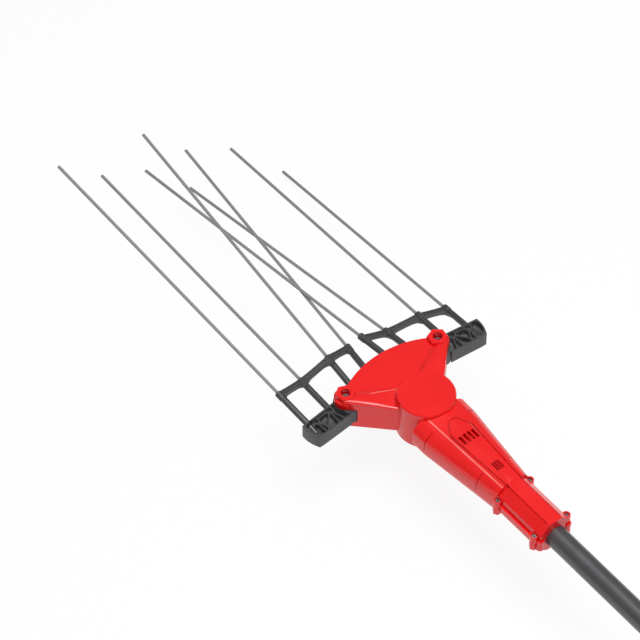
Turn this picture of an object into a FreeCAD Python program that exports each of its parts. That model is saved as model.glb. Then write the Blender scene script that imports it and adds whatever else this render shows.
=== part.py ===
import FreeCAD, Part
import math
import os

os.makedirs("parts", exist_ok=True)
V = FreeCAD.Vector

# Millimetres and degrees. The pole's open lower end is the origin, +Y runs along
# the pole to the tines and +Z is up; z = 0 is the plane where the two shells meet.
# Names ending in _back are distances behind the line of the two comb pivots.
overrun = 5.0
turn = 360.0

# Pole: a plain round tube whose open lower end takes the extension pole.
pivot_y = 560.0
pole_radius = 15.0
pole_wall = 1.5
pole_end_back = 250.0
pole_mouth_bevel = 0.6

# Fan housing between the two pivots. Each arm's crest and foot are measured inward from
# a line through the pivot along the side wall; its stations are shares of that wall's run
# and of the form at the pivot.
pivot_x = 77.0
shell_wall = 3.0
fan_front = 28.8
fan_radius = 140.0
fan_top = 22.0
fan_bottom = 21.5
fan_edge_round = 2.0
fan_edge_share = 0.3
side_wall_offset = 14.3
side_wall_angle = 45.5
side_wall_run = 71.0
ear_radius = 15.5
slot_half_height = 11.3
arm_hub_top = 27.0
arm_disc_top = 26.0
arm_hub_edge = 23.6
arm_disc_edge = 20.6
arm_disc_shoulder = 22.8
arm_hub_round = 6.5
arm_disc_round = 3.5
arm_hub_crest = -8.0
arm_disc_crest = 19.0
arm_hub_foot = 6.0
arm_disc_foot = 23.5
arm_root_depth = 2.5
arm_round_steps = 4
arm_station_shares = ((0.0, 1.0), (0.5, 0.85), (1.0, 0.0))

# Hexagonal bosses over the pivots, with the bolt head sunk deep inside.
hex_across_flats = 24.2
hex_top = 28.4
hex_turn = 21.7
hex_edge_bevel = 0.8
bolt_head_bore = 6.6
bolt_head_seat = 14.5
nut_boss_radius = 10.5
nut_boss_bottom = 26.0

# Round gear housing.
disc_back = 70.0
disc_radius = 39.0
disc_top = 35.8
disc_bottom = 29.5
disc_edge_round = 1.6

# Neck: the motor housing, wide at the gear housing and narrow at the clamp.
neck_front_back = 95.0
neck_waist_back = 120.0
neck_rear_back = 243.0
neck_front_width = 43.3
neck_waist_width = 43.1
neck_rear_width = 27.5
neck_front_ridge = 23.0
neck_waist_ridge = 21.5
neck_rear_ridge = 17.0
neck_front_ridge_z = 28.5
neck_rear_ridge_z = 26.0
neck_front_crown = 33.0
neck_rear_crown = 28.0
neck_shoulder_drop = 20.0
neck_flank_turn = 28.0
neck_shoulder_steps = 5
neck_crown_steps = 3
neck_crown_power = 1.3
neck_bottom_crown = 27.5
neck_bottom_ridge_drop = 3.0
seam_backs = (119.0, 209.0)
seam_width = 1.0
seam_depth = 0.8

# Spine: the raised panel along the neck, with two rows of vent slots.
spine_rise = 0.9
spine_point_back = 120.5
spine_wide_back = 141.0
spine_front_width = 18.8
spine_rear_width = 12.2
spine_tip_width = 7.0
spine_line_inset = 0.7
spine_line_width = 1.4
spine_line_depth = 1.2
big_vent_backs = (148.5, 163.0)
big_vent_width = 4.6
big_vent_pitch = 6.9
small_vent_backs = (206.0, 220.0)
small_vent_width = 1.7
small_vent_pitch = 3.1
vent_count = 4
vent_baffle_half_width = 15.0
vent_baffle_thickness = 1.6

# Clamp: the rear sleeve of both shells, closed on the pole by four screws.
clamp_rear_back = 326.0
clamp_top = 28.0
clamp_strip_width = 11.0
clamp_shoulder_width = 23.5
clamp_shoulder_z = 14.0
clamp_root_width = 24.6
clamp_bottom = 22.0
flange_width = 27.5
flange_half_height = 4.5
clamp_groove_width = 1.5
clamp_groove_depth = 1.6
clamp_groove_margin = 4.0
clamp_screw_x = 26.6
clamp_screw_backs = (245.5, 316.5)
screw_boss_radius = 5.6
screw_boss_top = 11.0
nut_boss_flats = 10.8
screw_boss_bottom = 12.4
lobe_x = 21.8
lobe_back = 323.0
lobe_radius = 5.6
lobe_top = 5.5
lobe_bottom = 12.0
wire_hole_radius = 10.5
bulkhead = 4.0

# Fasteners, as radii and heights of the standard sizes.
m4_radius = 2.0
m4_head_radius = 3.5
m4_head_height = 4.0
m4_socket_flats = 3.0
m4_nut_flats = 7.0
m4_nut_height = 3.2
m6_radius = 3.0
m6_head_radius = 5.0
m6_head_height = 6.0
m6_socket_flats = 5.0
m6_nut_flats = 10.0
m6_nut_height = 5.5
socket_depth_share = 0.55
hole_clearance = 0.2
pocket_clearance = 0.3
counterbore_clearance = 0.4
shell_screw_radius = 1.75
shell_screw_head_radius = 3.5
shell_screw_head_height = 2.6
shell_screw_seat = 8.0
shell_screw_bite = 11.0
shell_screw_places = ((43.5, 40.0), (18.5, 205.0))
shell_post_radius = 4.6
shell_screw_slot = 2.0

# Pivots: steel sleeve on the bolt, bronze bush in the comb, thrust washers.
sleeve_radius = 6.0
sleeve_bore_clearance = 0.2
bush_wall = 2.0
running_clearance = 0.05
hub_radius = 16.5
heel_radius = 12.5
heel_back = 9.0
hub_clearance = 0.8
hub_half_height = 10.5
washer_radius = 13.0
washer_thickness = 0.65

# Combs: block, hub and beam, four tine sleeves and the front bar.
comb_reach = 146.3
block_start = 7.0
block_front_inner = 10.5
block_front_outer = 2.5
block_rear_inner = 21.5
block_rear_outer = 26.8
block_end_bow = 6.5
block_end_bevel = 7.0
block_wall = 2.2
block_web = 1.6
rib_width = 1.8
rib_drop = 0.8
ring_outer_radius = 6.4
ring_wall = 2.0
small_ring_radius = 6.0
ring_a_across_share = 0.875
ring_a_back = 1.0
ring_b_across_share = 0.703
ring_b_front = 2.5
rib_foot_shares = (0.955, 0.86, 0.79, 0.715, 0.63)
block_pinhole_radius = 0.9
tine_radius = 2.15
tine_visible = 422.0
tine_length_shares = (1.019, 1.005, 1.0, 0.986)
tine_tip_bevel = 0.8
tine_across_shares = (0.9604, 0.6733, 0.3336, 0.0772)
sleeve_reach = 80.5
sleeve_reach_shares = (0.765, 0.848, 0.932, 1.0)
sleeve_lift = 16.6
sleeve_lift_shares = (1.0, 0.355, 0.554, -0.139)
tine_outward_degrees = (6.5, 1.4, -1.6, -6.3)
tine_rise_degrees = (15.5, 5.4, 9.55, 0.0)
tine_sleeve_radius = 4.4
collar_radius = 5.0
collar_length = 12.0
collar_bevel = 0.8
outer_tine_tail = -21.0
middle_tine_tail = 1.0
inner_tine_tail = 10.0
trough_end = 3.0
bar_width = 7.8
bar_height = 8.4
bar_middle_height = 6.6
bar_set_back = 5.6
bar_lift = 1.3
bar_gusset = 8.5
bar_gusset_share = 0.3
bar_steps = 8
bar_channel_width = 2.2
bar_channel_depth = 1.6
bar_channel_share = 0.14

# Inner lever of each comb, forked over the slider, with its steel pin.
lever_length = 57.0
beam_hub_width = 13.0
fork_back = 7.5
fork_front = 18.0
fork_tip = 7.0
fork_web_gap = 1.5
fork_half_height = 9.6
lever_pin_radius = 3.0

# Slider: yoke over the crank, neck and crosshead, on two guide rods.
slider_half_height = 4.5
sliding_gap = 0.3
yoke_half_width = 20.5
yoke_half_length = 12.0
yoke_corner = 3.0
slider_neck_width = 7.0
crosshead_half_width = 26.5
crosshead_half_length = 6.6
guide_x = 15.2
guide_radius = 2.5
guide_front_back = 42.5
guide_rear_back = 94.0
guide_post_length = 4.0
guide_post_half_width = 4.4
guide_post_top = 3.6

# Crank: face gear on a flanged crankshaft with an eccentric pin and roller.
crank_throw = 4.0
crank_flange_radius = 14.0
crank_shaft_radius = 5.0
crank_shoulder_radius = 6.6
crank_pin_radius = 3.0
crank_roller_radius = 4.0
gear_module = 1.5
pinion_teeth = 10
gear_teeth = 40
gear_inner_radius = 28.0
gear_outer_radius = 33.0
gear_thickness = 4.6
gear_web_thickness = 2.2
gear_window_radius = 4.0
gear_window_count = 6
gear_root_share = 1.25
gear_tip_half_width = 0.42
gear_root_half_width = 1.0
pinion_tip_half_width = 0.4
pinion_root_half_width = 1.15
pinion_hub_radius = 5.2
pinion_hub_length = 6.0
bearing_radius = 11.0
bearing_width = 6.0
bearing_gap = 2.5
bearing_seat_wall = 3.5
bearing_lip = 1.6
shoulder_height = 1.0
circlip_thickness = 0.9
circlip_rim = 1.8
circlip_groove = 0.6

# Motor: a 42 mm can motor with its mount plate, in the front of the neck.
motor_front_back = 121.0
motor_radius = 21.0
motor_length = 57.0
motor_wall = 1.6
motor_cap_length = 9.0
motor_cap_radius = 20.4
motor_nose_radius = 8.7
motor_nose_length = 4.0
motor_shaft_radius = 2.5
motor_bearing_radius = 6.5
motor_rear_bearing_width = 4.0
magnet_thickness = 3.4
magnet_span = 130.0
magnet_length_share = 0.8
armature_gap = 0.5
armature_slots = 10
armature_slot_width = 2.6
armature_slot_depth = 5.6
armature_stack_share = 0.52
winding_radius = 12.6
winding_length = 5.0
commutator_radius = 6.5
commutator_length = 8.0
brush_width = 4.5
brush_length = 6.0
plate_thickness = 4.0
plate_half_width = 30.0
plate_half_height = 20.0
motor_screw_offset = 14.5
saddle_backs = (132.0, 168.0)
saddle_thickness = 3.0
saddle_clearance = 0.15

# Places worked out from the sizes above.
disc_y = pivot_y - disc_back
neck_rear_y = pivot_y - neck_rear_back
clamp_rear_y = pivot_y - clamp_rear_back
pole_end_y = pivot_y - pole_end_back
hub_pocket_radius = heel_back + heel_radius + hub_clearance
gear_pitch_z = gear_module * pinion_teeth / 2
gear_tip_z = gear_pitch_z - gear_module
gear_root_z = gear_pitch_z + gear_module * gear_root_share
gear_top_z = gear_root_z + gear_thickness
bearing_low_z = gear_top_z + shoulder_height
bearing_high_z = bearing_low_z + bearing_width + bearing_gap
shaft_top_z = bearing_high_z + bearing_width + 2 * circlip_thickness
motor_front_y = pivot_y - motor_front_back
motor_rear_y = motor_front_y - motor_length
motor_cap_y = motor_rear_y - motor_cap_length
tine_tails = (outer_tine_tail, middle_tine_tail, middle_tine_tail, inner_tine_tail)


def save(name, shape):
    """Writes one sub-part, as one solid or as a compound of separate solids."""
    shape.exportStep("parts/" + name + ".step")


def fused(shapes):
    """All the shapes joined into one, with the seams between flush faces removed."""
    return shapes[0].multiFuse(shapes[1:]).removeSplitter()


def box(x0, x1, y0, y1, z0, z1):
    return Part.makeBox(x1 - x0, y1 - y0, z1 - z0, V(x0, y0, z0))


def post(radius, x, y, z0, z1):
    """An upright cylinder."""
    return Part.makeCylinder(radius, z1 - z0, V(x, y, z0))


def rod(radius, y0, y1, x=0, z=0):
    """A cylinder along the pole's direction."""
    return Part.makeCylinder(radius, y1 - y0, V(x, y0, z), V(0, 1, 0))


def prism(points, z0, z1):
    """A plan outline of straight edges, from z0 up to z1."""
    corners = [V(x, y, z0) for x, y in points]
    face = Part.Face(Part.makePolygon(corners + corners[:1]))
    return face.extrude(V(0, 0, z1 - z0))


def hexagon(flats, x, y, z0, z1, turned=0):
    """An upright hexagonal prism, turned about its own axis."""
    corner = flats / math.sqrt(3)
    steps = [math.radians(turned + turn * k / 6) for k in range(6)]
    return prism([(x + corner * math.cos(a), y + corner * math.sin(a)) for a in steps], z0, z1)


def mirrored(shape):
    """The same shape on the other side of the pole's centre plane."""
    return shape.mirror(V(0, 0, 0), V(1, 0, 0))


def both_sides(shape):
    return [shape, mirrored(shape)]


def pivot_point(offset, along):
    """A point by the side wall: offset outward from the right pivot, then along the wall."""
    angle = math.radians(side_wall_angle)
    x = pivot_x + offset * math.sin(angle) - along * math.cos(angle)
    y = pivot_y - offset * math.cos(angle) - along * math.sin(angle)
    return x, y


def fan_wire(inset, z, front=0):
    """The fan in plan: two slanting side walls and the arc in front."""
    radius = fan_radius - inset
    centre_y = pivot_y + fan_front - fan_radius + front
    tip_y = centre_y + math.sqrt(radius ** 2 - pivot_x ** 2)
    foot_x, foot_y = pivot_point(side_wall_offset - inset, 0)
    wall_x, wall_y = pivot_point(side_wall_offset - inset, side_wall_run)
    tip, foot, wall = V(pivot_x, tip_y, z), V(foot_x, foot_y, z), V(wall_x, wall_y, z)
    far_tip, far_foot, far_wall = [V(-p.x, p.y, z) for p in (tip, foot, wall)]
    arc = Part.Arc(far_tip, V(0, centre_y + radius, z), tip).toShape()
    lines = [Part.makeLine(a, b) for a, b in
             ((tip, foot), (foot, wall), (wall, far_wall), (far_wall, far_foot), (far_foot, far_tip))]
    return Part.Wire([arc] + lines)


def fan_prism(inset, z0, z1, front=0):
    return Part.Face(fan_wire(inset, z0, front)).extrude(V(0, 0, z1 - z0))


def fan_body():
    """The fan with a sloping edge round its roof."""
    edge = fan_edge_round
    levels = ((0, -fan_bottom), (0, fan_top - edge),
              (edge * fan_edge_share, fan_top - edge * fan_edge_share), (edge, fan_top))
    return Part.makeLoft([fan_wire(inset, z) for inset, z in levels], True, True)


def neck_wire(y, width, ridge, ridge_z, crown, rise):
    """One section of the neck; rise moves the outline out, or in where it is negative."""
    half, edge = width + rise, ridge + rise / 2
    low_crown = neck_bottom_crown + rise
    start = math.radians(neck_flank_turn)
    across = (half - edge) / (1 - math.sin(start))
    down = neck_shoulder_drop / math.cos(start)
    right = []
    for top, middle, up in ((ridge_z + rise, crown + rise, 1),
                            (low_crown - neck_bottom_ridge_drop, low_crown, -1)):
        flank = []
        for k in range(neck_crown_steps):
            share = k / neck_crown_steps
            flank.append((edge * share, middle - (middle - top) * share ** neck_crown_power))
        for k in range(neck_shoulder_steps + 1):
            angle = start + (math.radians(turn / 4) - start) * k / neck_shoulder_steps
            flank.append((half - across * (1 - math.sin(angle)),
                          top - neck_shoulder_drop + down * math.cos(angle)))
        flank = [(x, up * z) for x, z in flank]
        right += flank if up > 0 else flank[::-1]
    left = [(-x, z) for x, z in reversed(right) if x > 0]
    corners = [V(x, y, z) for x, z in right + left]
    return Part.makePolygon(corners + corners[:1])


def neck_loft(rise, front_cut=0, rear_cut=0):
    """The neck between its front and rear faces, each of which can be set back."""
    slope = (neck_rear_width - neck_waist_width) / (neck_rear_back - neck_waist_back)
    stations = [
        (neck_front_back + front_cut, neck_front_width, neck_front_ridge, 0),
        (neck_waist_back, neck_waist_width, neck_waist_ridge,
         (neck_waist_back - neck_front_back) / (neck_rear_back - neck_front_back)),
        (neck_rear_back - rear_cut, neck_rear_width - slope * rear_cut, neck_rear_ridge, 1),
    ]
    wires = []
    for back, width, ridge, share in stations:
        ridge_z = neck_front_ridge_z + (neck_rear_ridge_z - neck_front_ridge_z) * share
        crown = neck_front_crown + (neck_rear_crown - neck_front_crown) * share
        wires.append(neck_wire(pivot_y - back, width, ridge, ridge_z, crown, rise))
    return Part.makeLoft(wires, True, True)


def spine_points(inset):
    """The spine in plan: a blunt arrow head, narrowing to the clamp's top strip."""
    tip, front = spine_tip_width - inset / 2, spine_front_width - inset
    rear = spine_rear_width - inset
    right = [(tip, pivot_y - spine_point_back - inset), (front, pivot_y - spine_wide_back),
             (rear, neck_rear_y - overrun)]
    return right + [(-x, y) for x, y in reversed(right)]


def clamp_body():
    """The clamp sleeve: a flat top strip, sloping flanks and a flange on each side."""
    right = [(clamp_strip_width, clamp_top), (clamp_shoulder_width, clamp_shoulder_z),
             (clamp_root_width, flange_half_height), (flange_width, flange_half_height),
             (flange_width, -flange_half_height), (clamp_root_width, -flange_half_height),
             (clamp_shoulder_width, -clamp_shoulder_z), (clamp_strip_width, -clamp_bottom)]
    outline = right + [(-x, z) for x, z in reversed(right)]
    corners = [V(x, clamp_rear_y, z) for x, z in outline]
    face = Part.Face(Part.makePolygon(corners + corners[:1]))
    return face.extrude(V(0, neck_rear_y - clamp_rear_y + bulkhead, 0))


def arm_section(run_share, form_share):
    """One upright section of the right arm: a rounded outer edge, a crest and an inner flank."""
    def between(disc, hub, share):
        return disc + (hub - disc) * share

    top = between(arm_disc_top, arm_hub_top, form_share)
    edge = between(arm_disc_edge, arm_hub_edge, form_share)
    shoulder = between(arm_disc_shoulder, arm_hub_top, form_share)
    across = between(arm_disc_round, arm_hub_round, form_share)
    crest = between(arm_hub_crest, arm_disc_crest, run_share)
    foot = between(arm_hub_foot, arm_disc_foot, run_share)
    root = fan_top - arm_root_depth
    outline = [(-foot, root), (side_wall_offset, root)]
    for k in range(arm_round_steps + 1):
        angle = math.radians(turn / 4) * k / arm_round_steps
        outline.append((side_wall_offset - across * (1 - math.cos(angle)),
                        edge + (shoulder - edge) * math.sin(angle)))
    outline += [(-crest, top), (-foot, fan_top)]
    corners = [V(*pivot_point(offset, side_wall_run * run_share), z) for offset, z in outline]
    return Part.makePolygon(corners + corners[:1])


def arm():
    """The raised arm from the right pivot to the gear housing, highest over the pivot."""
    wires = [arm_section(run, form) for run, form in arm_station_shares]
    return Part.makeLoft(wires, True, True)


def bevelled_post(radius, x, y, z0, z1, edge):
    """An upright cylinder with its upper and lower rims bevelled."""
    solid = post(radius, x, y, z0, z1)
    rims = [e for e in solid.Edges if isinstance(e.Curve, Part.Circle)]
    return solid.makeChamfer(edge, rims)


def housing_outside():
    """The closed outer form of both shells together."""
    pieces = [fan_body(), bevelled_post(disc_radius, 0, disc_y, -disc_bottom, disc_top, disc_edge_round)]
    pieces += [neck_loft(0), clamp_body()]
    pieces += both_sides(bevelled_post(ear_radius, pivot_x, pivot_y, -fan_bottom, fan_top, fan_edge_round))
    pieces += both_sides(arm())
    boss = hexagon(hex_across_flats, pivot_x, pivot_y, 0, hex_top, hex_turn)
    top_rim = [e for e in boss.Edges if abs(e.CenterOfMass.z - hex_top) < hex_edge_bevel]
    pieces += both_sides(boss.makeChamfer(hex_edge_bevel, top_rim))
    pieces += both_sides(post(nut_boss_radius, pivot_x, pivot_y, -nut_boss_bottom, 0))
    for back in clamp_screw_backs:
        pieces += both_sides(post(screw_boss_radius, clamp_screw_x, pivot_y - back, 0, screw_boss_top))
        pieces += both_sides(hexagon(nut_boss_flats, clamp_screw_x, pivot_y - back, -screw_boss_bottom, 0))
    pieces += both_sides(post(lobe_radius, lobe_x, pivot_y - lobe_back, -lobe_bottom, lobe_top))
    spine = prism(spine_points(0), 0, disc_top).common(neck_loft(spine_rise))
    pieces.append(spine)
    return fused(pieces)


def housing_inside():
    """The chambers inside the shells, with the front slot that the combs swing in."""
    roof = fan_top - shell_wall
    floor = fan_bottom - shell_wall
    chambers = [fan_prism(shell_wall, -floor, roof),
                post(disc_radius - shell_wall, 0, disc_y, -disc_bottom + shell_wall, disc_top - shell_wall),
                neck_loft(-shell_wall, shell_wall, shell_wall),
                rod(wire_hole_radius, pole_end_y - overrun, neck_rear_y + overrun),
                rod(pole_radius, clamp_rear_y - overrun, pole_end_y)]
    inside = fused(chambers)
    for side in (1, -1):
        inside = inside.cut(post(ear_radius, side * pivot_x, pivot_y, slot_half_height, fan_top))
        inside = inside.cut(post(ear_radius, side * pivot_x, pivot_y, -fan_bottom, -slot_half_height))
    slot = fan_prism(shell_wall, -slot_half_height, slot_half_height, fan_front)
    pockets = [post(hub_pocket_radius, side * pivot_x, pivot_y, -slot_half_height, slot_half_height)
               for side in (1, -1)]
    return fused([inside, slot] + pockets)


def vent_slots():
    """The two rows of slots through the spine."""
    slots = []
    rows = ((big_vent_backs, big_vent_width, big_vent_pitch),
            (small_vent_backs, small_vent_width, small_vent_pitch))
    for (front, rear), width, pitch in rows:
        for k in range(vent_count):
            x = (k - (vent_count - 1) / 2) * pitch
            slots.append(box(x - width / 2, x + width / 2, pivot_y - rear, pivot_y - front,
                             motor_radius + saddle_clearance + vent_baffle_thickness, disc_top))
    return slots


def surface_lines():
    """Shallow lines in the outer face: round the spine panel and across the sides."""
    ring = prism(spine_points(spine_line_inset), 0, disc_top)
    ring = ring.cut(prism(spine_points(spine_line_inset + spine_line_width), 0, disc_top))
    lines = [ring.cut(neck_loft(spine_rise - spine_line_depth))]
    band = neck_loft(-seam_depth)
    for back in seam_backs:
        y = pivot_y - back
        slab = box(-neck_front_width - overrun, neck_front_width + overrun, y - seam_width / 2,
                   y + seam_width / 2, -neck_shoulder_drop, neck_rear_ridge_z - seam_width)
        lines.append(slab.cut(band))
    for side in (1, -1):
        x = side * clamp_strip_width
        lines.append(box(x - clamp_groove_width / 2, x + clamp_groove_width / 2,
                         clamp_rear_y + clamp_groove_margin, neck_rear_y + spine_rise,
                         clamp_top - clamp_groove_depth, clamp_top + overrun))
    return lines


def bearing_seat():
    """The tower under the roof of the gear housing that holds both crank bearings."""
    wall = bearing_radius + bearing_seat_wall
    top = bearing_high_z + bearing_width
    tower = post(wall, 0, disc_y, bearing_low_z, disc_top - shell_wall)
    bore = post(bearing_radius, 0, disc_y, bearing_low_z - overrun, top)
    relief = post(bearing_radius - bearing_lip, 0, disc_y, top, disc_top - shell_wall)
    return tower.cut(bore).cut(relief)


def motor_saddles(z0, z1):
    """Cross walls that hold the motor can and the plate in front of it."""
    wide = neck_front_width
    room = neck_loft(-shell_wall / 2, shell_wall, shell_wall)
    walls = [box(-wide, wide, pivot_y - back - saddle_thickness, pivot_y - back, z0, z1)
             for back in saddle_backs]
    can = rod(motor_radius + saddle_clearance, motor_rear_y - overrun, motor_front_y + overrun)
    return [w.common(room).cut(can) for w in walls]


def vent_baffle():
    """A thin floor between the saddles, which keeps leaves off the motor below the big vents."""
    front, rear = [pivot_y - back for back in saddle_backs]
    low = motor_radius + saddle_clearance
    return box(-vent_baffle_half_width, vent_baffle_half_width, rear - saddle_thickness, front,
               low, low + vent_baffle_thickness)


def shell_screw_sites():
    """The screws that hold the shells together from below, left and right."""
    return [(side * x, pivot_y - back) for x, back in shell_screw_places for side in (1, -1)]


def upper_shell(outside, inside):
    """Upper half of the housing, with the vents, hexagonal bosses and bearing tower."""
    wide = flange_width + pivot_x + overrun
    half = box(-wide, wide, clamp_rear_y - overrun, pivot_y + fan_front + overrun, 0, disc_top + overrun)
    shell = outside.common(half).cut(inside)
    additions = [bearing_seat(), vent_baffle()] + motor_saddles(0, neck_front_crown)
    inner_roof = disc_top - shell_wall
    for x, y in shell_screw_sites():
        column = post(shell_post_radius, x, y, 0, inner_roof).common(outside)
        additions.append(column)
    shell = fused([shell] + additions)
    cuts = vent_slots() + surface_lines()
    for x, y in shell_screw_sites():
        cuts.append(post(shell_screw_radius, x, y, -overrun, shell_screw_bite))
    for side in (1, -1):
        cuts.append(post(m6_radius + hole_clearance, side * pivot_x, pivot_y, 0, hex_top))
        cuts.append(post(bolt_head_bore, side * pivot_x, pivot_y, bolt_head_seat, hex_top + overrun))
        for back in clamp_screw_backs:
            x, y = side * clamp_screw_x, pivot_y - back
            cuts.append(post(m4_radius + hole_clearance, x, y, -overrun, screw_boss_top))
            cuts.append(post(m4_head_radius + counterbore_clearance, x, y,
                             flange_half_height, screw_boss_top + overrun))
    for cutter in cuts:
        shell = shell.cut(cutter)
    return shell


def guide_posts():
    """Four posts of the lower shell that carry the ends of the guide rods."""
    posts = []
    for back in (guide_front_back, guide_rear_back - guide_post_length):
        for side in (1, -1):
            x = side * guide_x
            y = pivot_y - back
            posts.append(box(x - guide_post_half_width, x + guide_post_half_width,
                             y - guide_post_length, y, -disc_bottom + shell_wall / 2, guide_post_top))
    return posts


def lower_shell(outside, inside):
    """Lower half of the housing, with the guide posts, nut pockets and screw posts."""
    wide = flange_width + pivot_x + overrun
    depth = disc_bottom + overrun
    half = box(-wide, wide, clamp_rear_y - overrun, pivot_y + fan_front + overrun, -depth, 0)
    shell = outside.common(half).cut(inside)
    additions = motor_saddles(-depth, 0)
    additions += [p.common(outside) for p in guide_posts()]
    for x, y in shell_screw_sites():
        additions.append(post(shell_post_radius, x, y, -depth, 0).common(outside))
    shell = fused([shell] + additions)
    cuts = [rod(guide_radius, pivot_y - guide_rear_back, pivot_y - guide_front_back, side * guide_x)
            for side in (1, -1)]
    for x, y in shell_screw_sites():
        cuts.append(post(shell_screw_radius + hole_clearance, x, y, -depth, overrun))
        cuts.append(post(shell_screw_head_radius + counterbore_clearance, x, y, -depth, -shell_screw_seat))
    for side in (1, -1):
        cuts.append(post(m6_radius + hole_clearance, side * pivot_x, pivot_y, -depth, 0))
        cuts.append(hexagon(m6_nut_flats + pocket_clearance, side * pivot_x, pivot_y,
                            -depth, -bolt_head_seat))
        for back in clamp_screw_backs:
            x, y = side * clamp_screw_x, pivot_y - back
            cuts.append(post(m4_radius + hole_clearance, x, y, -depth, 0))
            cuts.append(hexagon(m4_nut_flats + pocket_clearance, x, y, -depth,
                                -screw_boss_bottom + m4_nut_height))
    for cutter in cuts:
        shell = shell.cut(cutter)
    return shell


def cap_screw(radius, head_radius, head_height, socket_flats, x, y, seat_z, tip_z):
    """A socket head cap screw, head up, with its hexagonal socket."""
    head = post(head_radius, x, y, seat_z, seat_z + head_height)
    shank = post(radius, x, y, tip_z, seat_z)
    socket = hexagon(socket_flats, x, y, seat_z + head_height * (1 - socket_depth_share),
                     seat_z + head_height + overrun)
    return fused([head, shank]).cut(socket)


def nut(flats, bore, x, y, z0, z1):
    return hexagon(flats, x, y, z0, z1).cut(post(bore, x, y, z0 - overrun, z1 + overrun))


def shell_screws():
    """Self-tapping screws with slotted pan heads, driven from below."""
    screws = []
    for x, y in shell_screw_sites():
        head = post(shell_screw_head_radius, x, y, -shell_screw_seat - shell_screw_head_height,
                    -shell_screw_seat)
        shank = post(shell_screw_radius, x, y, -shell_screw_seat, shell_screw_bite)
        slot = box(x - shell_screw_head_radius, x + shell_screw_head_radius,
                   y - shell_screw_slot / 4, y + shell_screw_slot / 4,
                   -shell_screw_seat - shell_screw_head_height,
                   -shell_screw_seat - shell_screw_head_height / 2)
        screws.append(fused([head, shank]).cut(slot))
    return Part.makeCompound(screws)


def pole_tube():
    """The tube, with the edge of its open lower mouth bevelled."""
    tube = rod(pole_radius, 0, pole_end_y)
    mouth = [e for e in tube.Edges if isinstance(e.Curve, Part.Circle) and e.CenterOfMass.y < overrun]
    tube = tube.makeChamfer(pole_mouth_bevel, mouth)
    return tube.cut(rod(pole_radius - pole_wall, -overrun, pole_end_y + overrun))


def fan_comb_x(x):
    """The left comb is built on the negative side."""
    return -x


def tine_line(index):
    """Sleeve tip and direction of one tine of the left comb."""
    out = math.radians(tine_outward_degrees[index])
    rise = math.radians(tine_rise_degrees[index])
    tip = V(fan_comb_x(comb_reach * tine_across_shares[index]),
            pivot_y + sleeve_reach * sleeve_reach_shares[index],
            sleeve_lift * sleeve_lift_shares[index])
    direction = V(-math.sin(out) * math.cos(rise), math.cos(out) * math.cos(rise), math.sin(rise))
    return tip, direction


def point_at(index, forward):
    """The point of a tine's axis at a distance in front of the pivot line."""
    tip, direction = tine_line(index)
    return tip + direction * ((pivot_y + forward - tip.y) / direction.y)


def tine(index):
    """One straight tine, from its tail in the comb to its rounded tip."""
    tip, direction = tine_line(index)
    tail = point_at(index, tine_tails[index])
    length = (tip - tail).Length + tine_visible * tine_length_shares[index]
    wire = Part.makeCylinder(tine_radius, length, tail, direction)
    end = [e for e in wire.Edges if isinstance(e.Curve, Part.Circle)
           and (e.CenterOfMass - tail).Length > length / 2]
    return wire.makeChamfer(tine_tip_bevel, end)


def sleeve(index):
    """Round sleeve of one tine with the collar at its tip."""
    tip, direction = tine_line(index)
    root = point_at(index, 0)
    length = (tip - root).Length
    barrel = Part.makeCylinder(tine_sleeve_radius, length, root, direction)
    collar = Part.makeCylinder(collar_radius, collar_length, tip - direction * collar_length, direction)
    rims = [e for e in collar.Edges if isinstance(e.Curve, Part.Circle)]
    return [barrel, collar.makeChamfer(collar_bevel, rims)]


def bar_section(index, share, front, rear, bottom, top):
    """One upright section of the front bar between two neighbouring tines."""
    tip_a, dir_a = tine_line(index)
    tip_b, dir_b = tine_line(index + 1)
    lift = V(0, 0, bar_lift)
    a, b = tip_a - dir_a * bar_set_back + lift, tip_b - dir_b * bar_set_back + lift
    centre = a + (b - a) * share
    ahead = dir_a + (dir_b - dir_a) * share
    ahead.z = 0
    ahead.normalize()
    corners = [centre + ahead * front + V(0, 0, bottom), centre + ahead * front + V(0, 0, top),
               centre - ahead * rear + V(0, 0, top), centre - ahead * rear + V(0, 0, bottom)]
    return Part.makePolygon(corners + corners[:1])


def bar(index):
    """The front bar of one bay, arched at both ends, with a channel above and below."""
    wires = []
    for k in range(bar_steps + 1):
        share = k / bar_steps
        near = min(share, 1 - share) / bar_gusset_share
        arch = bar_gusset * (1 - math.sqrt(1 - (1 - min(near, 1)) ** 2))
        half = (bar_middle_height + (bar_height - bar_middle_height) * (2 * share - 1) ** 2) / 2
        wires.append(bar_section(index, share, bar_width / 2, bar_width / 2 + arch, -half, half))
    body = Part.makeLoft(wires, True, True)
    half = bar_middle_height / 2
    for low, high in ((half - bar_channel_depth, half + overrun),
                      (-half - overrun, -half + bar_channel_depth)):
        ends = [bar_section(index, share, bar_channel_width / 2, bar_channel_width / 2, low, high)
                for share in (bar_channel_share, 1 - bar_channel_share)]
        body = body.cut(Part.makeLoft(ends, True, True))
    return body


def block_edge(x, front):
    """The block's front or rear edge at a distance x from the centre plane."""
    share = (x - pivot_x) / (comb_reach - pivot_x)
    if front:
        return pivot_y + block_front_inner + (block_front_outer - block_front_inner) * share
    return pivot_y - block_rear_inner - (block_rear_outer - block_rear_inner) * share


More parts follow.
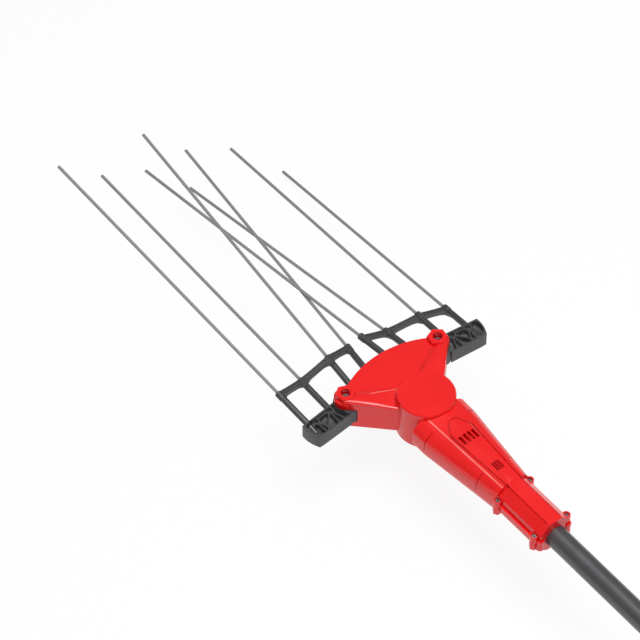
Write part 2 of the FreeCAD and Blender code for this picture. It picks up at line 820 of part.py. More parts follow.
def block_solid(inset, z0, z1):
    """The block in plan: swept edges, a bowed outer end and a bevelled rear corner."""
    inner, outer = pivot_x + block_start, comb_reach - inset
    end = outer - block_end_bow
    rear = block_edge(end, False) + inset
    corners = [(inner, block_edge(inner, True) - inset), (outer - inset, block_edge(outer, True) - inset)]
    after = [(end, rear + inset), (end - block_end_bevel, rear), (inner, block_edge(inner, False) + inset)]
    a, b = [V(fan_comb_x(x), y, z0) for x, y in corners]
    c, d, e = [V(fan_comb_x(x), y, z0) for x, y in after]
    bow = V(fan_comb_x(outer), (b.y + 2 * c.y) / 3 + (b.y - c.y) / 3, z0)
    edges = [Part.makeLine(a, b), Part.Arc(b, bow, c).toShape(), Part.makeLine(c, d),
             Part.makeLine(d, e), Part.makeLine(e, a)]
    return Part.Face(Part.Wire(edges)).extrude(V(0, 0, z1 - z0))


def rib(start, stop, z0, z1):
    """A thin upright rib between two plan points."""
    (ax, ay), (bx, by) = start, stop
    length = math.hypot(bx - ax, by - ay)
    nx, ny = -(by - ay) / length * rib_width / 2, (bx - ax) / length * rib_width / 2
    return prism([(ax + nx, ay + ny), (bx + nx, by + ny), (bx - nx, by - ny), (ax - nx, ay - ny)], z0, z1)


def block_ribs(room, z0, z1):
    """Rings and ribs in the block's open pockets, on one face."""
    ring_a = (fan_comb_x(comb_reach * ring_a_across_share), pivot_y - ring_a_back)
    ring_b = (fan_comb_x(comb_reach * ring_b_across_share), pivot_y + ring_b_front)
    rear = pivot_y - block_rear_outer
    x_at = [fan_comb_x(comb_reach * share) for share in rib_foot_shares]
    ribs = [rib(ring_a, (x_at[0], rear), z0, z1), rib(ring_a, (x_at[1], rear), z0, z1),
            rib(ring_a, (x_at[2], rear), z0, z1), rib(ring_b, (x_at[1], rear), z0, z1),
            rib(ring_b, (x_at[3], rear), z0, z1), rib(ring_a, ring_b, z0, z1),
            rib(ring_b, (x_at[4], rear), z0, z1), rib(ring_a, (x_at[0], ring_b[1]), z0, z1)]
    rings = [post(small_ring_radius, ring_a[0], ring_a[1], z0, z1),
             post(ring_outer_radius, ring_b[0], ring_b[1], z0, z1)]
    holes = [post(small_ring_radius - ring_wall, ring_a[0], ring_a[1], z0, z1),
             post(ring_outer_radius - ring_wall, ring_b[0], ring_b[1], z0, z1)]
    return fused(ribs + rings).common(room).cut(holes[0]).cut(holes[1])


def lever_points(inset):
    """The beam from the hub to the fork in plan, for the left comb."""
    tip = pivot_x - lever_length
    points = [(pivot_x, beam_hub_width - inset), (tip, fork_front - inset),
              (tip - fork_tip + inset, fork_front - inset), (tip - fork_tip + inset, -fork_back + inset),
              (tip + fork_tip, -fork_back + inset), (pivot_x, -beam_hub_width + inset)]
    return [(fan_comb_x(x), pivot_y + y) for x, y in points]


def left_comb():
    """The left comb moulding: block, hub, beam, fork, sleeves and front bar."""
    half = hub_half_height
    block = block_solid(0, -half, half)
    for low, high in ((block_web / 2, half + overrun), (-half - overrun, -block_web / 2)):
        block = block.cut(block_solid(block_wall, low, high))
    room = block_solid(block_wall / 2, -half + rib_drop, half - rib_drop)
    block = fused([block, block_ribs(room, block_web / 4, half - rib_drop),
                   block_ribs(room, -half + rib_drop, -block_web / 4)])
    tip, direction = tine_line(0)
    tail = point_at(0, outer_tine_tail)
    seat = Part.makeCylinder(tine_sleeve_radius, -outer_tine_tail, tail, direction)
    seat = seat.common(block_solid(0, -half, half))
    hub = post(hub_radius, fan_comb_x(pivot_x), pivot_y, -half, half)
    heel = post(heel_radius, fan_comb_x(pivot_x), pivot_y - heel_back, -half, half)
    beam = prism(lever_points(0), -fork_half_height, fork_half_height)
    pieces = [block, seat, hub, heel, beam]
    for index in range(len(tine_across_shares)):
        pieces += sleeve(index)
    for index in range(len(tine_across_shares) - 1):
        pieces.append(bar(index))
    comb = fused(pieces)
    lever_x = fan_comb_x(pivot_x - lever_length)
    outer_x = lever_x - crosshead_half_width + pivot_x - lever_length - fork_web_gap
    gap = box(outer_x, lever_x + fork_tip + overrun, pivot_y - fork_back - overrun,
              pivot_y + crosshead_half_length + fork_web_gap, -slider_half_height - sliding_gap,
              slider_half_height + sliding_gap)
    comb = comb.cut(gap)
    comb = comb.cut(post(sleeve_radius + running_clearance + bush_wall, fan_comb_x(pivot_x), pivot_y,
                         -half - overrun, half + overrun))
    comb = comb.cut(post(lever_pin_radius, lever_x, pivot_y, -half - overrun, half + overrun))
    comb = comb.cut(trough(tail))
    comb = comb.cut(pinhole())
    for index in range(len(tine_across_shares)):
        comb = comb.cut(tine(index))
    return comb


def trough(tail):
    """The open channel above the tail of the outer tine."""
    start = point_at(0, trough_end)
    wide = tine_radius
    corners = [V(tail.x - wide, tail.y, tail.z), V(start.x - wide, start.y, start.z),
               V(start.x + wide, start.y, start.z), V(tail.x + wide, tail.y, tail.z)]
    floor = Part.Face(Part.makePolygon(corners + corners[:1]))
    return floor.extrude(V(0, 0, 2 * hub_half_height))


def pinhole():
    """A small round hole in the rear wall of the block."""
    x = fan_comb_x(pivot_x + hub_radius + block_wall)
    return rod(block_pinhole_radius, pivot_y - block_rear_outer, pivot_y - block_rear_inner + block_wall, x)


def flipped(shape):
    """The left comb's piece turned half round about the pole's direction, for the right."""
    turned = shape.copy()
    turned.rotate(V(0, 0, 0), V(0, 1, 0), turn / 2)
    return turned


def comb_bush():
    """Bronze bush pressed into the comb's hub."""
    inner = sleeve_radius + running_clearance
    x = fan_comb_x(pivot_x)
    return post(inner + bush_wall, x, pivot_y, -hub_half_height, hub_half_height).cut(
        post(inner, x, pivot_y, -hub_half_height - overrun, hub_half_height + overrun))


def lever_pin():
    """Steel pin pressed through the fork of the left comb."""
    x = fan_comb_x(pivot_x - lever_length)
    return post(lever_pin_radius, x, pivot_y, -fork_half_height, fork_half_height)


def slider():
    """Crosshead, neck and yoke of the slider, with its slots and guide bores."""
    low, high = -slider_half_height, slider_half_height
    yoke = box(-yoke_half_width, yoke_half_width, disc_y - yoke_half_length, disc_y + yoke_half_length,
               low, high)
    corners = [e for e in yoke.Edges if abs(e.Vertexes[0].Point.z - e.Vertexes[1].Point.z) > high]
    yoke = yoke.makeFillet(yoke_corner, corners)
    neck = box(-slider_neck_width, slider_neck_width, disc_y, pivot_y, low, high)
    head = box(-crosshead_half_width, crosshead_half_width, pivot_y - crosshead_half_length,
               pivot_y + crosshead_half_length, low, high)
    body = fused([yoke, neck, head])
    crank_slot = crank_roller_radius + sliding_gap
    reach = crank_throw + sliding_gap
    body = body.cut(slot_prism(0, disc_y, crank_slot, reach, low, high))
    for side in (1, -1):
        x = side * (pivot_x - lever_length)
        body = body.cut(slot_prism(x, pivot_y, lever_pin_radius + sliding_gap, sliding_gap, low, high))
        body = body.cut(rod(guide_radius + running_clearance, disc_y - yoke_half_length - overrun,
                            disc_y + yoke_half_length + overrun, side * guide_x))
    return body


def slot_prism(x, y, radius, reach, z0, z1):
    """A slot across the slider, with round ends, cut right through it."""
    low, high = z0 - overrun, z1 + overrun
    return fused([box(x - reach, x + reach, y - radius, y + radius, low, high),
                  post(radius, x - reach, y, low, high), post(radius, x + reach, y, low, high)])


def guide_rods():
    return Part.makeCompound([rod(guide_radius, pivot_y - guide_rear_back, pivot_y - guide_front_back,
                                  side * guide_x) for side in (1, -1)])


def face_gear():
    """Face gear ring: forty radial teeth below a web with six round windows."""
    ring = post(gear_outer_radius, 0, disc_y, gear_root_z, gear_top_z)
    dish = post(gear_inner_radius, 0, disc_y, gear_root_z + gear_web_thickness, gear_top_z)
    dish = dish.cut(post(crank_flange_radius + gear_web_thickness, 0, disc_y, gear_root_z, gear_top_z))
    ring = ring.cut(dish).cut(post(crank_flange_radius, 0, disc_y, gear_root_z, gear_top_z))
    middle = (gear_inner_radius + crank_flange_radius + gear_web_thickness) / 2
    for k in range(gear_window_count):
        angle = math.radians(turn * k / gear_window_count)
        x, y = middle * math.cos(angle), disc_y + middle * math.sin(angle)
        ring = ring.cut(post(gear_window_radius, x, y, gear_root_z - overrun, gear_top_z))
    teeth = []
    for k in range(gear_teeth):
        angle = turn * (k + 1 / 2) / gear_teeth
        tooth = radial_tooth()
        tooth.rotate(V(0, disc_y, 0), V(0, 0, 1), angle)
        teeth.append(tooth)
    return fused([ring] + teeth)


def radial_tooth():
    """One tooth of the face gear, pointing down, at the side of the pinion."""
    y0, y1 = disc_y - gear_outer_radius, disc_y - gear_inner_radius
    y0 = disc_y - math.sqrt(gear_outer_radius ** 2 - gear_root_half_width ** 2)
    corners = [V(-gear_root_half_width, y0, gear_root_z), V(-gear_tip_half_width, y0, gear_tip_z),
               V(gear_tip_half_width, y0, gear_tip_z), V(gear_root_half_width, y0, gear_root_z)]
    face = Part.Face(Part.makePolygon(corners + corners[:1]))
    return face.extrude(V(0, y1 - y0, 0))


def pinion():
    """Steel pinion with ten straight teeth and a hub, on the motor shaft."""
    y0, y1 = disc_y - gear_outer_radius, disc_y - gear_inner_radius
    root = gear_pitch_z - gear_module * gear_root_share
    tip = gear_pitch_z + gear_module
    pieces = [rod(root, y0, y1), rod(pinion_hub_radius, y0 - pinion_hub_length, y0)]
    for k in range(pinion_teeth):
        corners = [V(-pinion_root_half_width, y0, root / 2), V(-pinion_root_half_width, y0, root),
                   V(-pinion_tip_half_width, y0, tip), V(pinion_tip_half_width, y0, tip),
                   V(pinion_root_half_width, y0, root), V(pinion_root_half_width, y0, root / 2)]
        face = Part.Face(Part.makePolygon(corners + corners[:1]))
        tooth = face.extrude(V(0, y1 - y0, 0))
        tooth.rotate(V(0, 0, 0), V(0, 1, 0), turn * k / pinion_teeth)
        pieces.append(tooth)
    return fused(pieces).cut(rod(motor_shaft_radius, y0 - pinion_hub_length - overrun, y1 + overrun))


def crank_shaft():
    """Flanged crankshaft with the eccentric pin below and a circlip groove on top."""
    flange = post(crank_flange_radius, 0, disc_y, gear_root_z, gear_top_z)
    shoulder = post(crank_shoulder_radius, 0, disc_y, gear_top_z, bearing_low_z)
    shaft = post(crank_shaft_radius, 0, disc_y, bearing_low_z, shaft_top_z)
    pin = post(crank_pin_radius, crank_throw, disc_y, slider_half_height + sliding_gap, gear_root_z)
    body = fused([flange, shoulder, shaft, pin])
    low = bearing_high_z + bearing_width
    groove = post(crank_shaft_radius + overrun, 0, disc_y, low, low + circlip_thickness)
    return body.cut(groove.cut(post(crank_shaft_radius - circlip_groove, 0, disc_y, low, shaft_top_z)))


def crank_roller():
    """Roller on the crank pin, which drives the yoke."""
    z0, z1 = slider_half_height + sliding_gap, gear_root_z
    ring = post(crank_roller_radius, crank_throw, disc_y, z0, z1)
    return ring.cut(post(crank_pin_radius, crank_throw, disc_y, z0 - overrun, z1 + overrun))


def crank_bearings():
    """Two sealed ball bearings, one above the other."""
    rings = []
    for low in (bearing_low_z, bearing_high_z):
        ring = post(bearing_radius, 0, disc_y, low, low + bearing_width)
        ring = ring.cut(post(crank_shaft_radius + running_clearance, 0, disc_y, low, low + bearing_width))
        rings.append(ring)
    return Part.makeCompound(rings)


def ring_solid(outer, inner, z0, z1):
    return post(outer, 0, disc_y, z0, z1).cut(post(inner, 0, disc_y, z0, z1))


def motor_can():
    """Steel motor can: closed round front with its nose, open behind."""
    can = rod(motor_radius, motor_rear_y, motor_front_y)
    can = can.cut(rod(motor_radius - motor_wall, motor_rear_y, motor_front_y - motor_wall))
    can = can.fuse(rod(motor_nose_radius, motor_front_y - motor_wall, motor_front_y + motor_nose_length))
    nose_y = motor_front_y + motor_nose_length
    can = can.cut(rod(motor_bearing_radius, motor_front_y - overrun, nose_y - motor_wall))
    can = can.cut(rod(motor_shaft_radius + sliding_gap, motor_front_y, nose_y + overrun))
    for side in (1, -1):
        can = can.cut(rod(m4_radius, motor_front_y - overrun, motor_front_y, side * motor_screw_offset))
    return can.removeSplitter()


def motor_magnets():
    """Two curved magnets against the inside of the can."""
    outer = motor_radius - motor_wall
    length = motor_length * magnet_length_share
    y1 = motor_front_y - 2 * motor_wall
    ring = rod(outer, y1 - length, y1).cut(rod(outer - magnet_thickness, y1 - length, y1))
    half = math.radians(magnet_span / 2)
    reach = 2 * motor_radius
    magnets = []
    for side in (1, -1):
        corners = [V(0, y1, 0), V(side * reach * math.cos(half), y1, reach * math.sin(half)),
                   V(side * reach, y1, 0), V(side * reach * math.cos(half), y1, -reach * math.sin(half))]
        wedge = Part.Face(Part.makePolygon(corners + corners[:1])).extrude(V(0, -length, 0))
        magnets.append(ring.common(wedge))
    return Part.makeCompound(magnets)


def armature_span():
    """Front and rear of the laminated stack."""
    length = motor_length * armature_stack_share
    front = motor_front_y - motor_wall - motor_bearing_radius - winding_length
    return front, front - length


def armature_core():
    """Laminated stack with its winding slots."""
    front, rear = armature_span()
    radius = motor_radius - motor_wall - magnet_thickness - armature_gap
    core = rod(radius, rear, front)
    half = armature_slot_width / 2
    for k in range(armature_slots):
        slot = box(-half, half, rear, front, radius - armature_slot_depth, radius + overrun)
        slot.rotate(V(0, 0, 0), V(0, 1, 0), turn * k / armature_slots)
        core = core.cut(slot)
    return core.cut(rod(motor_shaft_radius, rear, front))


def armature_windings():
    """The copper end turns in front of and behind the stack."""
    front, rear = armature_span()
    rings = []
    for y0, y1 in ((front, front + winding_length), (rear - winding_length, rear)):
        rings.append(rod(winding_radius, y0, y1).cut(rod(motor_shaft_radius, y0, y1)))
    return Part.makeCompound(rings)


def commutator_span():
    front, rear = armature_span()
    start = rear - winding_length
    return start - commutator_length, start


def motor_shaft():
    return rod(motor_shaft_radius, motor_cap_y + motor_wall, disc_y - gear_inner_radius)


def motor_bearings():
    """The two small plain bearings of the motor, in its nose and in its end cap."""
    y1 = motor_front_y + motor_nose_length - motor_wall
    y0 = y1 - motor_bearing_radius
    rear_y = motor_cap_y + motor_wall
    rings = []
    for low, high in ((y0, y1), (rear_y, rear_y + motor_rear_bearing_width)):
        ring = rod(motor_bearing_radius, low, high)
        rings.append(ring.cut(rod(motor_shaft_radius + running_clearance, low, high)))
    return Part.makeCompound(rings)


def motor_end_cap():
    """Moulded rear cap of the motor with the seat of its bearing and an arm for each brush."""
    cap = rod(motor_cap_radius, motor_cap_y, motor_rear_y)
    seat_y = motor_cap_y + motor_wall
    cap = cap.cut(rod(motor_cap_radius - motor_wall, seat_y, motor_rear_y))
    cap = cap.fuse(rod(motor_bearing_radius + motor_wall, motor_cap_y, seat_y + motor_rear_bearing_width))
    y0, y1 = commutator_span()
    arm_end = (y0 + y1 + brush_width) / 2
    top = commutator_radius + sliding_gap + brush_length
    for low, high in ((top, top + motor_wall), (-top - motor_wall, -top)):
        cap = cap.fuse(box(-brush_width / 2, brush_width / 2, motor_cap_y, arm_end, low, high))
    return cap.cut(rod(motor_bearing_radius, seat_y, motor_rear_y)).removeSplitter()


def motor_brushes():
    """Two carbon brushes on the commutator."""
    y0, y1 = commutator_span()
    middle = (y0 + y1) / 2
    brushes = []
    for side in (1, -1):
        block = box(-brush_width / 2, brush_width / 2, middle - brush_width / 2, middle + brush_width / 2,
                    0, commutator_radius + sliding_gap + brush_length)
        block = block.cut(rod(commutator_radius + sliding_gap, y0, y1))
        if side < 0:
            block = block.mirror(V(0, 0, 0), V(0, 0, 1))
        brushes.append(block)
    return Part.makeCompound(brushes)


def motor_plate():
    """Steel plate in front of the motor, held in the shells."""
    y0, y1 = motor_front_y, motor_front_y + plate_thickness
    room = neck_loft(-shell_wall, shell_wall, shell_wall)
    plate = box(-plate_half_width, plate_half_width, y0, y1, -plate_half_height, plate_half_height)
    plate = plate.common(room).cut(rod(motor_nose_radius, y0, y1))
    for side in (1, -1):
        plate = plate.cut(rod(m4_radius + hole_clearance, y0, y1, side * motor_screw_offset))
    return plate


def motor_screws():
    """Two screws that hold the motor to its plate."""
    screws = []
    for side in (1, -1):
        x = side * motor_screw_offset
        face = motor_front_y + plate_thickness
        head = rod(m4_head_radius, face, face + m4_head_height / 2, x)
        shank = rod(m4_radius, motor_front_y - motor_wall, face, x)
        screws.append(fused([head, shank]))
    return Part.makeCompound(screws)


def build():
    outside, inside = housing_outside(), housing_inside()
    save("upper_shell", upper_shell(outside, inside))
    save("lower_shell", lower_shell(outside, inside))
    save("pole_tube", pole_tube())

    sides = (1, -1)
    clamp_sites = [(side * clamp_screw_x, pivot_y - back) for back in clamp_screw_backs for side in sides]
    save("clamp_screws", Part.makeCompound(
        [cap_screw(m4_radius, m4_head_radius, m4_head_height, m4_socket_flats, x, y,
                   flange_half_height, -screw_boss_bottom) for x, y in clamp_sites]))
    save("clamp_nuts", Part.makeCompound(
        [nut(m4_nut_flats, m4_radius, x, y, -screw_boss_bottom, -screw_boss_bottom + m4_nut_height)
         for x, y in clamp_sites]))
    save("shell_screws", shell_screws())
    pivots = [(side * pivot_x, pivot_y) for side in sides]
    save("pivot_bolts", Part.makeCompound(
        [cap_screw(m6_radius, m6_head_radius, m6_head_height, m6_socket_flats, x, y,
                   bolt_head_seat, -bolt_head_seat - m6_nut_height) for x, y in pivots]))
    save("pivot_nuts", Part.makeCompound(
        [nut(m6_nut_flats, m6_radius, x, y, -bolt_head_seat - m6_nut_height, -bolt_head_seat)
         for x, y in pivots]))
    save("pivot_sleeves", Part.makeCompound(
        [post(sleeve_radius, x, y, -slot_half_height, slot_half_height).cut(
            post(m6_radius + sleeve_bore_clearance, x, y, -slot_half_height, slot_half_height))
         for x, y in pivots]))
    washers = []
    for x, y in pivots:
        for z0 in (-slot_half_height, slot_half_height - washer_thickness):
            washer = post(washer_radius, x, y, z0, z0 + washer_thickness)
            washers.append(washer.cut(post(sleeve_radius, x, y, z0, z0 + washer_thickness)))
    save("thrust_washers", Part.makeCompound(washers))

    comb = left_comb()
    save("comb_left", comb)
    save("comb_right", flipped(comb))
    save("comb_bush_left", comb_bush())
    save("comb_bush_right", flipped(comb_bush()))
    save("lever_pin_left", lever_pin())
    save("lever_pin_right", flipped(lever_pin()))
    for index in range(len(tine_across_shares)):
        save("tine_left_" + str(index + 1), tine(index))
        save("tine_right_" + str(index + 1), flipped(tine(index)))

    save("slider", slider())
    save("guide_rods", guide_rods())
    save("face_gear", face_gear())
    save("pinion", pinion())
    save("crank_shaft", crank_shaft())
    save("crank_roller", crank_roller())
    save("crank_bearings", crank_bearings())
    middle = bearing_low_z + bearing_width
    save("bearing_spacer", ring_solid(bearing_radius, bearing_radius - bearing_lip, middle, bearing_high_z))
    low = bearing_high_z + bearing_width
    save("crank_circlip", ring_solid(crank_shaft_radius + circlip_rim, crank_shaft_radius - circlip_groove,
                                     low, low + circlip_thickness))

    save("motor_can", motor_can())
    save("motor_magnets", motor_magnets())
    save("motor_end_cap", motor_end_cap())
    save("motor_brushes", motor_brushes())
    save("motor_bearings", motor_bearings())
    save("motor_plate", motor_plate())
    save("motor_screws", motor_screws())
    save("motor_shaft", motor_shaft())
    save("armature_core", armature_core())
    save("armature_windings", armature_windings())
    y0, y1 = commutator_span()
    save("commutator", rod(commutator_radius, y0, y1).cut(rod(motor_shaft_radius, y0, y1)))


build()
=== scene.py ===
import math

import bmesh
import bpy
from mathutils import Matrix, Vector


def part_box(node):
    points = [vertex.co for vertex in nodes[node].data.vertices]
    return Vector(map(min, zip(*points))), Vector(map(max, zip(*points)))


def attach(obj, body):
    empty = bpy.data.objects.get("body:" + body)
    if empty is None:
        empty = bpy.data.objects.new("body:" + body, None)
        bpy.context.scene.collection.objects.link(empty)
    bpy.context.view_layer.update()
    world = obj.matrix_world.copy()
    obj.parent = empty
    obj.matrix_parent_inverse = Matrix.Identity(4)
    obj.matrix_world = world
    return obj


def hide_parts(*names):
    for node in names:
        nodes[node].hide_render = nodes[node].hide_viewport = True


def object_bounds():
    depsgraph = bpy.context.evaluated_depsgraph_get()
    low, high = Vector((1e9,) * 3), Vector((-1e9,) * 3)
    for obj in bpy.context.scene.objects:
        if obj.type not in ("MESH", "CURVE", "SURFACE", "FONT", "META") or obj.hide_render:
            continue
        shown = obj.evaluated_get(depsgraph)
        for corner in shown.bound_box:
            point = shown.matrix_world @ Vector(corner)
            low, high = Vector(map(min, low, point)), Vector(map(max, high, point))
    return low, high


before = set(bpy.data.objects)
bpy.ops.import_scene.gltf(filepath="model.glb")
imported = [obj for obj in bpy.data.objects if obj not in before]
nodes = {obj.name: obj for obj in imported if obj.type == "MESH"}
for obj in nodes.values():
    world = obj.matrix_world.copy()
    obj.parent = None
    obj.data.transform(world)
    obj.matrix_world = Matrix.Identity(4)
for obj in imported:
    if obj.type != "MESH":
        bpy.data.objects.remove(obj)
cad_box = [list(corner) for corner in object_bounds()]

# The backdrop is white paper under the head and far behind it, in a pale room. It stays
# white to the camera and in reflections, and keeps a faint shadow of the head.
MM = 0.001
paper_half = 6.0
paper_middle = 0.5
paper_drop = 2 * MM
paper_white = (0.98, 0.98, 0.98, 1)
paper_shadow_share = 0.10
room_white = (1, 1, 1, 1)
full_white = 1.0
room_light = 0.34
room_gloss_low, room_gloss_high = 0.2, 0.45


def add_node(tree, kind, sockets=None, **settings):
    """Adds a shader node, gives its sockets their values or links, returns its outputs."""
    node = tree.nodes.new(kind)
    for name, value in settings.items():
        setattr(node, name, value)
    for socket, value in (sockets or {}).items():
        if isinstance(value, bpy.types.NodeSocket):
            tree.links.new(value, node.inputs[socket])
        else:
            node.inputs[socket].default_value = value
    return node.outputs


def combine(tree, operation, first, second):
    """Joins two shader values by a sum such as MULTIPLY or MAXIMUM."""
    return add_node(tree, "ShaderNodeMath", {0: first, 1: second}, operation=operation)[0]


paper_mesh = bpy.data.meshes.new("paper")
paper = bpy.data.objects.new("paper", paper_mesh)
bpy.context.collection.objects.link(paper)
bm = bmesh.new()
paper_place = Matrix.Translation((0, paper_middle, cad_box[0][2] - paper_drop))
bmesh.ops.create_grid(bm, x_segments=1, y_segments=1, size=paper_half, matrix=paper_place)
bm.to_mesh(paper_mesh)
bm.free()

paper_look = bpy.data.materials.new("paper")
paper_look.use_nodes = True
tree = paper_look.node_tree
tree.nodes.clear()
rays = add_node(tree, "ShaderNodeLightPath")
seen = rays["Is Camera Ray"]
for ray in ("Is Glossy Ray", "Is Transmission Ray"):
    seen = combine(tree, "MAXIMUM", seen, rays[ray])
white_share = combine(tree, "MULTIPLY", seen, 1 - paper_shadow_share)
matt = add_node(tree, "ShaderNodeBsdfDiffuse", {"Color": paper_white})
white = add_node(tree, "ShaderNodeEmission", {"Strength": full_white})
paper_mix = add_node(tree, "ShaderNodeMixShader", {0: white_share, 1: matt[0], 2: white[0]})
add_node(tree, "ShaderNodeOutputMaterial", {"Surface": paper_mix[0]})
paper_mesh.materials.append(paper_look)

world = bpy.data.worlds.new("studio")
bpy.context.scene.world = world
world.use_nodes = True
tree = world.node_tree
tree.nodes.clear()
direction = add_node(tree, "ShaderNodeTexCoord")["Generated"]
height = add_node(tree, "ShaderNodeSeparateXYZ", {0: direction})["Z"]
overhead = add_node(tree, "ShaderNodeMapRange", {
    "Value": height, "To Min": room_gloss_low, "To Max": room_gloss_high})
rays = add_node(tree, "ShaderNodeLightPath")
levels = [combine(tree, "MULTIPLY", rays[ray], strength) for ray, strength in (
    ("Is Camera Ray", full_white), ("Is Transmission Ray", full_white),
    ("Is Diffuse Ray", room_light), ("Is Glossy Ray", overhead[0]))]
room_strength = levels[0]
for level in levels[1:]:
    room_strength = combine(tree, "MAXIMUM", room_strength, level)
room = add_node(tree, "ShaderNodeBackground", {"Color": room_white, "Strength": room_strength})
add_node(tree, "ShaderNodeOutputWorld", {"Surface": room[0]})

# The camera looks down on the housing's top from its left rear, with a long lens. One wide
# square lamp hangs high over the pole and is aimed at the housing.
camera_right = Vector((0.7845, -0.6202, 0.0)).normalized()
camera_back = Vector((-0.4010, -0.5072, 0.7629)).normalized()
camera_up = camera_back.cross(camera_right).normalized()
camera_target = Vector((0, 0.560, 0.02847))
camera_left_shift = 0.093535
camera_up_shift = 0.057213
camera_distance = 4.628
camera_place = (camera_target - camera_right * camera_left_shift + camera_up * camera_up_shift
                + camera_back * camera_distance)
film_width = 36
lens_length = 200.25
sight_limit = 50
lamp_place = Vector((0, 0.05, 2.6))
lamp_aim = Vector((0, 0.5, 0))
lamp_side = 1.3
lamp_power = 57

lens = bpy.data.cameras.new("camera")
lens.sensor_width = film_width
lens.lens = lens_length
lens.clip_end = sight_limit
camera = bpy.data.objects.new("camera", lens)
bpy.context.collection.objects.link(camera)
turned_to = Matrix((camera_right, camera_up, camera_back)).transposed().to_4x4()
camera.matrix_world = Matrix.Translation(camera_place) @ turned_to
bpy.context.scene.camera = camera

soft_box = bpy.data.lights.new("key", "AREA")
soft_box.shape = "RECTANGLE"
soft_box.size, soft_box.size_y = lamp_side, lamp_side
soft_box.energy = lamp_power
lamp = bpy.data.objects.new("key", soft_box)
bpy.context.collection.objects.link(lamp)
lamp.location = lamp_place
lamp.rotation_euler = (lamp_aim - lamp_place).to_track_quat("-Z", "Y").to_euler()

bpy.context.scene.view_settings.view_transform = "Standard"

# The pole is a drawn aluminium tube with a dark satin anodised coat. Its lower mouth is
# cut square, with a small bevel, and its upper end is held in the clamp of the housing.
pole_high = Vector(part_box("pole_tube")[1])
pole_radius = pole_high.x
pole_wall = 1.5 * MM
pole_bevel = 0.5 * MM
pole_sides = 96
turned_weld = 0.001 * MM
plain_crease = 32
cloud_low, cloud_high = 0.3, 0.7
line_relief = 0.5


def new_piece(name, bm, body, material, node, crease=plain_crease):
    """Turns a bmesh into an object that rides on a body and stands for a CAD node."""
    mesh = bpy.data.meshes.new(name)
    bm.to_mesh(mesh)
    bm.free()
    piece = bpy.data.objects.new(name, mesh)
    bpy.context.collection.objects.link(piece)
    mesh.materials.append(material)
    mesh.polygons.foreach_set("use_smooth", [True] * len(mesh.polygons))
    mesh.set_sharp_from_angle(angle=math.radians(crease))
    flat = piece.modifiers.new("flat faces stay flat", "WEIGHTED_NORMAL")
    flat.mode = "FACE_AREA"
    flat.keep_sharp = True
    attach(piece, body)
    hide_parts(node)


def turned(profile, start, direction, sides):
    """Spins an outline of (distance along, radius) points once about an axis."""
    bm = bmesh.new()
    axis = Vector(direction).normalized()
    across = axis.orthogonal().normalized()
    ring = [bm.verts.new(Vector(start) + axis * along + across * radius)
            for along, radius in profile]
    lines = [bm.edges.new(pair) for pair in zip(ring, ring[1:])]
    bmesh.ops.spin(bm, geom=ring + lines, cent=start, axis=axis, angle=math.tau, steps=sides,
                   use_merge=True)
    bmesh.ops.remove_doubles(bm, verts=bm.verts, dist=turned_weld)
    bmesh.ops.recalc_face_normals(bm, faces=bm.faces)
    return bm


def open_group(name, inputs, outputs, kind="NodeSocketFloat"):
    """Starts a node group with named sockets; gives it and the values that it takes."""
    group = bpy.data.node_groups.new(name, "ShaderNodeTree")
    for socket in inputs:
        group.interface.new_socket(socket, in_out="INPUT", socket_type=kind)
    for socket in outputs:
        group.interface.new_socket(socket, in_out="OUTPUT", socket_type="NodeSocketFloat")
    return group, add_node(group, "NodeGroupInput")


def drawn_lines_group():
    """Masks of fine lines along a drawn or turned surface, and of soft clouds."""
    group, given = open_group("drawn lines", ("Across", "Along"), ("Lines", "Cloud"))
    place = add_node(group, "ShaderNodeTexCoord")["Object"]
    stretch = add_node(group, "ShaderNodeCombineXYZ", {
        "X": given["Across"], "Y": given["Along"], "Z": given["Across"]})
    scaled = add_node(group, "ShaderNodeVectorMath", {0: place, 1: stretch[0]},
                      operation="MULTIPLY")
    lines = add_node(group, "ShaderNodeTexNoise", {
        "Vector": scaled[0], "Scale": 1.0, "Detail": 3.0})
    cloud = add_node(group, "ShaderNodeTexNoise", {
        "Vector": place, "Scale": 28.0, "Detail": 4.0})
    add_node(group, "NodeGroupOutput", {"Lines": lines["Fac"], "Cloud": cloud["Fac"]})
    return group


drawn_lines = drawn_lines_group()


def new_look(name, values):
    """A material whose surface has some plain values; gives it and its node tree."""
    look = bpy.data.materials.new(name)
    look.use_nodes = True
    surface = look.node_tree.nodes["Principled BSDF"]
    for socket, value in values.items():
        surface.inputs[socket].default_value = value
    return look, look.node_tree


def mixed(tree, share, under, over):
    """The colour that comes of laying one over another by a share."""
    return add_node(tree, "ShaderNodeMix", {"Factor": share, "A": under, "B": over},
                    data_type="RGBA")["Result"]


def feed_surface(tree, color, cloud, roughness, height, relief_share, depth):
    """Gives the surface its colour, a gloss that follows the clouds, and a fine relief."""
    gloss = add_node(tree, "ShaderNodeMapRange", {
        "Value": cloud, "From Min": cloud_low, "From Max": cloud_high,
        "To Min": roughness[0], "To Max": roughness[1]})
    relief = add_node(tree, "ShaderNodeBump", {
        "Height": height, "Strength": relief_share, "Distance": depth * MM})
    surface = tree.nodes["Principled BSDF"]
    tree.links.new(color, surface.inputs["Base Color"])
    tree.links.new(gloss[0], surface.inputs["Roughness"])
    tree.links.new(relief[0], surface.inputs["Normal"])


def drawn_metal(name, dark, light, roughness, across, along, depth=0.02, metallic=1.0, coat=0.0):
    """Metal or rod with fine lines along the pole's direction and cloudy handling marks."""
    look, tree = new_look(name, {"Metallic": metallic, "Coat Weight": coat})
    lines = add_node(tree, "ShaderNodeGroup", {"Across": across, "Along": along},
                     node_tree=drawn_lines)
    color = mixed(tree, lines["Lines"], (*dark, 1), (*light, 1))
    feed_surface(tree, color, lines["Cloud"], roughness, lines["Lines"], line_relief,
                 depth)
    return look


